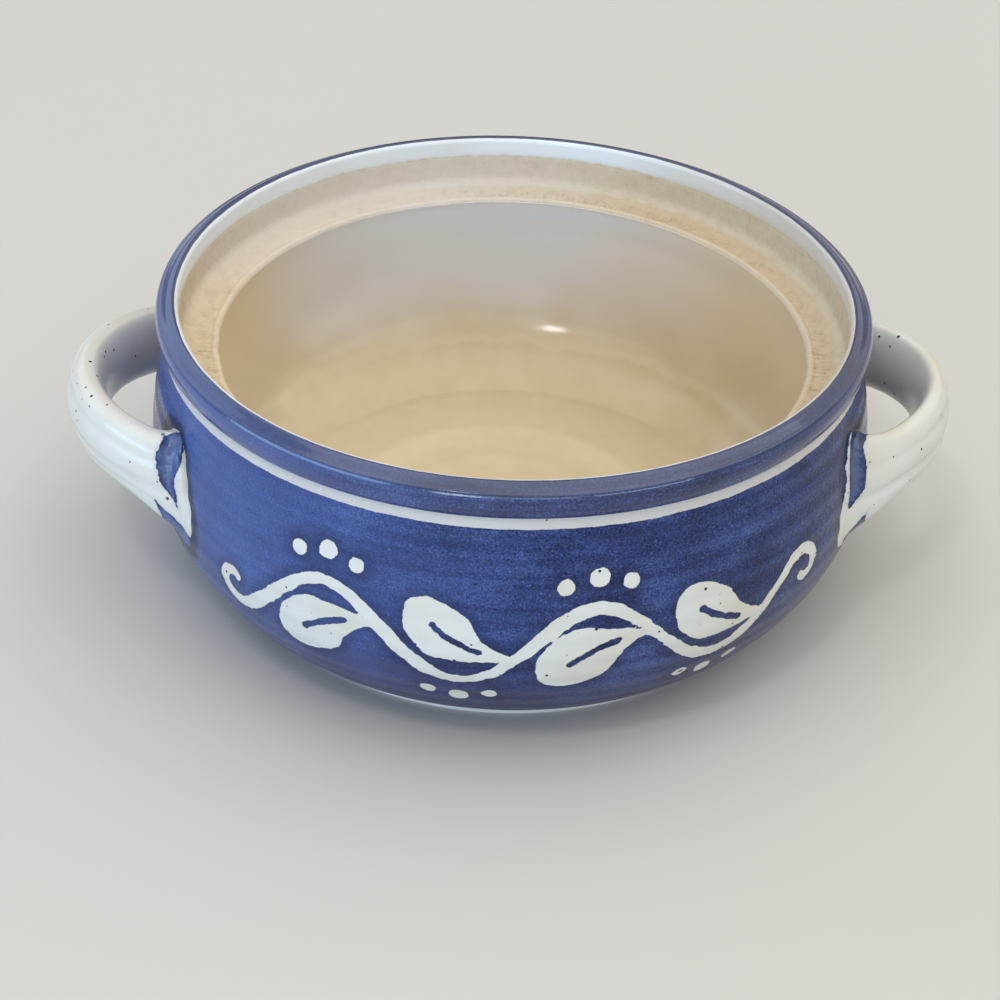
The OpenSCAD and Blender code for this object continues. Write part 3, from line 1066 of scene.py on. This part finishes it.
def rim_blue():
    """Cobalt that is darker in the groove, from glaze that collects there and painted shade, and grey on the
    band under the crest, from thin glaze and a painted sheen of the sky.
    """
    f = Finish("rim_blue_glaze")
    blue, height = cobalt(f)
    height_up = f.kept("height")
    streaks = f.noise(0.9, 2.0, LEVEL)
    # Darker in the groove under the rim: partly glaze that collects there, partly painted shade
    groove = 1 - (height_up + f.noise(2.0) * 0.4).step(line_top + 0.15, line_top + 0.8)
    # Painted sheen: the upper band turns grey, partly thin glaze and partly a painted reflection of the sky
    band = (height_up + streaks * 1.2).step(rim_z + 0.9, rim_z + 2.0)
    colour = f.mix(blue, RIM_GREY_SHEEN, band * 0.6)
    colour = f.mix(colour, BLUE_DARK, (streaks * 2).step(0.05, 0.6) * 0.5)
    colour = f.mix(colour, BLUE_POOL_AND_SHADE, groove * 0.95)
    colour = f.mix(colour, PALE, pale_line(f))
    return f.done(colour, 0.1 + f.noise(3.0) * 0.06, height * 0.25, clear=0.3)


place("pale_neck_line", line_mesh, neck_line(), "pale_line", "line_band")
place("rolled_rim_coat", rim_mesh, rim_blue(), "rim_blue_glaze", "rim_glaze")

# %% [markdown]
# ## The white lip
# White glaze covers the lip and runs a little way down into the well. It ends on the bare clay without a
# line, so its coat thins out there and its colour gives way to the clay's by a soft, uneven step. On the
# crest the blue of the rim reaches over it.

# %% Lip
CLAY = (0.6, 0.49, 0.34)
LIP_WHITE = (0.78, 0.84, 0.92)
# A warm, darker white: painted warm light and shade on the right side of the lip
LIP_WARM_SHADE = (0.61, 0.555, 0.49)
# How far in from the crest the rim's blue reaches at the back
BLUE_OVER = 0.4


def thin_end(path):
    """Thickness of the lip's coat: it runs out over the last part of its path."""
    return thinned((lengths(path)[-1] - lengths(path))[:, None], over=1.6, power=0.6)


def lip_white():
    """Cool white glaze, painted warmer and darker on the right as warm light and shade, tan where it runs out
    and blue where the rim's glaze reaches over the crest, which it does more at the back."""
    f = Finish("white_lip_glaze")
    soft = (f.kept("height") + f.noise(2.4, 3.0) * 1.4 - lip_glaze_z).step(-0.4, 1.0)
    colour = f.mix(LIP_WHITE, WHITE_WARM, (f.noise(18.0) * 2 + 0.2).step(0.0, 1.0) * 0.5)
    # Painted light and shade: warmer and darker towards the right
    colour = f.mix(colour, LIP_WARM_SHADE, towards(f, "X", 0.2, 0.85))
    colour = f.mix(CLAY, colour, soft)
    over = BLUE_OVER * towards(f, "Y", -0.7, 0.2) + f.noise(4.0, 2.0) * 0.15
    colour = f.mix(colour, RIM_GREY_SHEEN, (f.kept("radius") + over - crest_r).step(-0.15, 0.0))
    return f.done(colour, 0.42 - soft * 0.24, f.noise(2.5) * 0.02)


lip_mesh = coat_over("white_lip_coat", lip_path, BOWL_COLUMNS, step=0.2, thickness=thin_end)
place("white_lip_coat", lip_mesh, lip_white(), "white_lip_glaze", "lip_glaze")

# %% [markdown]
# ## The bare clay
# The clay itself shows in two places: the seat that a cover would rest on, left bare so that the two don't
# fuse in the kiln, and the foot. The whole bowl is one closed shell under its coats. Its seat is dry and
# grainy, with brown flashing. Across it the tones are partly painted shade and light; it is painted browner
# on the right as warm light and shade, and paler at the back on the left as cool light. The foot is painted
# nearly white as light.

# %% Bowl shape
hidden = [clay_under(part) for part in (belly_path, line_path, rim_path, lip_path)]
before = np.concatenate([even(under_path, COARSE), foot_path, *hidden])
seat_fine = even(seat_path, FINE)
bowl_path = np.concatenate([before, seat_fine, clay_under(liner_path)])
seat_at = (lengths(bowl_path) - lengths(before)[-1] - np.linalg.norm(seat_fine[0] - before[-1]))[:, None]
edge_at = lengths(seat_path)[-1] - math.radians(edge_to - edge_from) * seat_edge
turn = around(BOWL_COLUMNS)
bowl_mesh = shell(
    "turned_bowl", turned(bowl_path, BOWL_COLUMNS), poles=(True, True),
    fields={
        "height": bowl_path[:, 1:], "seat": seat_at,
        "round_x": well_r * np.cos(turn), "round_y": well_r * np.sin(turn),
    },
)

# %% Clay finish
CLAY_LIGHT = (0.67, 0.57, 0.42)
CLAY_EDGE = (0.7, 0.59, 0.44)
CLAY_COOL_LIGHT = (0.67, 0.63, 0.62)
CLAY_BROWN = (0.38, 0.255, 0.13)
# Nearly white: painted light on the foot
FOOT_PAINTED_LIGHT = (0.82, 0.75, 0.7)
# Tones at shares of the way across the seat: a dark line just under the lip and a light cove, partly the
# clay's own banding and partly painted shade and light
SEAT_SHADE_BANDS = ((0.0, 0.62), (0.05, 0.5), (0.3, 0.57), (0.45, 0.68), (0.6, 0.64), (0.7, 0.5))


def bare_clay():
    """Dry tan clay. One tone gathers the bands across the seat, partly painted shade and light, a mottling, a
    grain and small brown marks across the ledge, and is read off from brown to pale. A few stains are
    browner, the right side is painted browner as warm light and shade, the back is painted paler on the left
    as cool light, and the foot is painted nearly white as light."""
    f = Finish("bare_clay")
    grain = f.noise(0.6, 3.0)
    mottle = f.noise(2.6, 4.0)
    seat = f.kept("seat")
    across = (seat + f.noise(5.0, 3.0) * 3.0) * (1 / lengths(seat_path)[-1])
    # Painted shade and light across the seat, over the clay's own banding
    bands = [(at, (tone, tone, tone)) for at, tone in SEAT_SHADE_BANDS]
    polar = {"X": f.kept("round_x") * MM, "Y": f.kept("round_y") * MM, "Z": seat * (0.3 * MM)}
    marks = f.noise(0.8, 3.0, place=f.node("ShaderNodeCombineXYZ", {}, polar))
    ledge = across.step(0.55, 0.7) * (f.noise(60.0) * 2.5 + 0.6).step(0.0, 1.0)
    edge = (seat + f.noise(1.5) * 0.8).step(edge_at, edge_at + 0.4)
    marked = (marks + 0.1).step(0.0, 0.4) * ledge
    tone = f.ramp(across, *bands) + mottle * 0.7 + grain * 0.5 - marked * 0.4 + edge * 0.25
    colour = f.ramp(tone, (0.12, CLAY_BROWN), (0.45, CLAY), (0.72, CLAY_LIGHT), (1.0, CLAY_EDGE))
    stain = (f.noise(7.0, 2.0) * 2).step(0.15, 0.55) * 0.35
    # Stains stay the clay's own; the browner right side is painted warm light and shade
    right = towards(f, "X", -0.2, 0.6)
    colour = f.mix(colour, CLAY_BROWN, stain.larger(right * 0.2))
    # Painted cool light: paler at the back on the left
    colour = f.mix(colour, CLAY_COOL_LIGHT, (1 - right) * towards(f, "Y", -0.1, 0.7) * 0.65)
    # Painted light: the foot is made nearly white against the shade under the belly
    foot = 1 - f.kept("height").step(2.0, 6.0)
    colour = f.mix(colour, FOOT_PAINTED_LIGHT, foot)
    return f.done(colour, 0.72 + grain * 0.2, grain * 0.1 + mottle * 0.1)


place("turned_bowl", bowl_mesh, bare_clay(), "bare_clay", "bowl_body")

# %% [markdown]
# ## The cream liner
# Inside, a glossy cream glaze covers the wall and the floor, up to the edge of the seat. The fingers left
# broad rings in it, in one long spiral. They are relief again, because a gloss shows each of them as a bend
# in its reflections. Every other ring is faint, and the colour is lighter on the rings and darker in the
# hollows.

# %% Liner shape
# Distance from ring to ring, the share that its edge takes, its depth, and where the spiral starts
RING_STEP, RING_EDGE, RING_DEEP, RING_START = 13.5, 0.22, 0.34, 0.42
# How much lower the rings are up the wall, over what height, and the radius of the smooth middle
WALL_LESS, WALL_H, MIDDLE_R = 0.85, 20.0, 6.0


def finger_rings(path, columns):
    """Rings of the fingers: a saw tooth of the distance from the middle of the floor that winds out with the
    angle. Each rises slowly and drops at its outer edge. They are deepest on the floor, and lower towards the
    seat."""
    angle = around(columns)
    out = (lengths(path)[-1] - lengths(path))[:, None]
    turns = out / RING_STEP + RING_START - angle / (2 * math.pi)
    share = (turns + 0.06 * np.sin(angle) + 0.03 * np.sin(3 * angle + 1.0)) % 1
    tooth = share * np.clip((1 - share) / RING_EDGE, 0, 1)
    strong = 0.6 + 0.4 * np.sin(math.pi * (out / RING_STEP + 0.2))
    up_wall = 1 - WALL_LESS * np.clip((path[:, 1:] - floor_z) / WALL_H, 0, 1)
    return RING_DEEP * np.clip(out / MIDDLE_R, 0, 1) * tooth * strong * up_wall


def worn_edge(path):
    """Thickness of the liner: it thins out where it ends at the seat."""
    return thinned(lengths(path)[:, None], over=1.2, power=0.6)


liner_mesh = coat_over(
    "cream_liner_coat", liner_path, BOWL_COLUMNS, step=0.75, relief=finger_rings,
    fields={"relief": finger_rings}, thickness=worn_edge,
)

# %% Liner finish
# Height of the one light ring
LIGHT_RING_Z = 15.5
CREAM = (0.62, 0.525, 0.35)
CREAM_LIGHT = (0.69, 0.6, 0.435)
CREAM_WALL_LIT = (0.86, 0.72, 0.53)
# Cool white: painted cool light on the back wall
CREAM_COOL_LIGHT = (0.82, 0.87, 1.0)


def cream_liner():
    """Cream glaze: light on the rings and darker between them, with one light ring where the wall starts,
    paler up the wall as painted light, and a painted cool light on the back of it."""
    f = Finish("cream_liner")
    ring = (f.kept("relief") * 3.0 + f.noise(6.0, 4.0) * 1.2).step(-0.4, 1.0)
    colour = f.mix(CREAM, CREAM_LIGHT, ring)
    # Painted light: paler up the wall, against the shade in the hollow
    up = (f.kept("height") + f.noise(22.0) * 9).step(14.0, 32.0)
    colour = f.mix(colour, CREAM_WALL_LIT, up * 0.9)
    # Painted cool light: a cool white up the back wall, weaker towards the right
    back = towards(f, "Y", 0.42, 0.88) * 0.95 + 0.05
    colour = f.mix(colour, CREAM_COOL_LIGHT, up * back * (1 - towards(f, "X", 0.1, 0.7) * 0.6))
    from_ring = f.kept("height") + f.noise(6.0, 3.0) * 4 - LIGHT_RING_Z
    light_ring = (1.6 - from_ring.larger(from_ring * -1.0)).step(0.0, 1.4)
    colour = f.mix(colour, CREAM_LIGHT, light_ring * 0.9)
    colour = f.mix(colour, CLAY_BROWN, f.specks(6.0, 0.3, 0.1) * 0.5)
    return f.done(colour, 0.13 + f.noise(6.0) * 0.06, f.noise(2.2) * 0.008, 0.35)


place("cream_liner_coat", liner_mesh, cream_liner(), "cream_liner", "liner_glaze")

# %% [markdown]
# ## Stage, light and camera
# The dish stands on a plain pale floor. A wide softbox overhead gives most of the light, a cooler one stands
# on the left as a window would, and two behind fill in the shade. A low, long one and two narrow panes in
# front give the rim its sparkle, and a small lamp puts a glint inside. A lamp's power follows from the light
# that it should add to a face turned towards it, so each lamp is set by a share of white.

# %% Floor
FLOOR_HALF, FLOOR_ROUGH = 10.0, 0.9
FLOOR_GREY = (0.62, 0.61, 0.59, 1.0)

square = [(x * FLOOR_HALF, y * FLOOR_HALF, 0) for x, y in ((-1, -1), (1, -1), (1, 1), (-1, 1))]
floor_mesh = bpy.data.meshes.new("floor")
floor_mesh.from_pydata(square, [], [(0, 1, 2, 3)])
floor = in_scene("floor", floor_mesh)
floor_finish = bpy.data.materials.new("floor")
floor_finish.use_nodes = True
floor_shader = floor_finish.node_tree.nodes["Principled BSDF"]
floor_shader.inputs["Base Color"].default_value = FLOOR_GREY
floor_shader.inputs["Roughness"].default_value = FLOOR_ROUGH
floor_mesh.materials.append(floor_finish)
floor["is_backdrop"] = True

# %% Sky and lamps
SKY_GREY = (0.25, 0.24, 0.22, 1.0)
LAMPLIGHT, DAYLIGHT = (1.0, 0.95, 0.85), (0.7, 0.88, 1.0)


def softbox(name, azimuth, elevation, distance, size, share, colour):
    """A rectangular lamp that faces the dish, from an azimuth (0 in front, 90 on the right) and an elevation.
    On a face turned to it, it adds that share of white: power = share x pi squared x distance squared."""
    a, e = math.radians(azimuth), math.radians(elevation)
    way = Vector((math.sin(a) * math.cos(e), -math.cos(a) * math.cos(e), math.sin(e)))
    data = bpy.data.lights.new(name, "AREA")
    data.shape = "RECTANGLE"
    data.size, data.size_y = size
    data.color = colour
    data.energy = share * math.pi ** 2 * distance ** 2
    lamp = in_scene(name, data)
    lamp.location = way * distance
    lamp.rotation_mode = "QUATERNION"
    lamp.rotation_quaternion = (-way).to_track_quat("-Z", "Y")
    lamp.visible_camera = False


sky = bpy.data.worlds.new("sky")
bpy.context.scene.world = sky
sky.use_nodes = True
sky.node_tree.nodes["Background"].inputs["Color"].default_value = SKY_GREY
softbox("overhead", 60, 80, 2.6, (4.6, 4.6), 1.3, LAMPLIGHT)
softbox("front", -5, 12, 6.0, (4.5, 1.5), 0.12, (0.65, 0.86, 1.0))
softbox("left_pane", -18, 11, 6.0, (1.3, 1.1), 0.09, DAYLIGHT)
softbox("right_pane", 36, 11, 6.0, (3.2, 0.7), 0.09, DAYLIGHT)
softbox("window", -65, 10, 8.0, (8.0, 2.56), 0.5, (0.38, 0.65, 1.0))
softbox("back_left", -140, 30, 5.0, (5.0, 3.0), 0.2, (0.6, 0.75, 1.0))
softbox("back_right", 140, 30, 5.0, (5.0, 3.0), 0.12, LAMPLIGHT)
softbox("glint", -24, 59, 1.0, (0.09, 0.09), 0.08, (0.95, 0.98, 1.0))
print(len(bpy.data.lights), "lamps")

# %% [markdown]
# The camera stands in front and a little to the left, well above the rim, with a long lens and a slight turn
# of the picture. Its place was found by fitting the ellipses of rim, line, seat and foot.

# %% Camera
# Where it stands and looks in metres, its lens in millimetres, and the turn of the picture in degrees
EYE, AIM = Vector((-0.02625, -0.40285, 0.2974)), Vector((-0.00161, 0.0001, 0.01178))
LENS, ROLL = 79.2, 2.26

camera_data = bpy.data.cameras.new("camera")
camera_data.lens = LENS
camera = in_scene("camera", camera_data)
camera.location = EYE
camera.rotation_mode = "QUATERNION"
camera.rotation_quaternion = (AIM - EYE).to_track_quat("-Z", "Y") @ Quaternion((0, 0, 1), math.radians(ROLL))
bpy.context.scene.camera = camera
bpy.context.scene.view_settings.view_transform = "Standard"
print(f"the camera stands {(AIM - EYE).length:.2f} m from the dish")

# %% [markdown]
# ## Sizes before and after
# The finished surface may not outgrow the solids that it stands for, so both boxes are printed.

# %% Print the boxes
shown_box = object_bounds()
boxes = {"cad": [list(corner) for corner in cad_box], "shown": [list(corner) for corner in shown_box]}
for word, (low, high) in boxes.items():
    print(word, "box in mm:", np.round(np.subtract(high, low) / MM, 1))
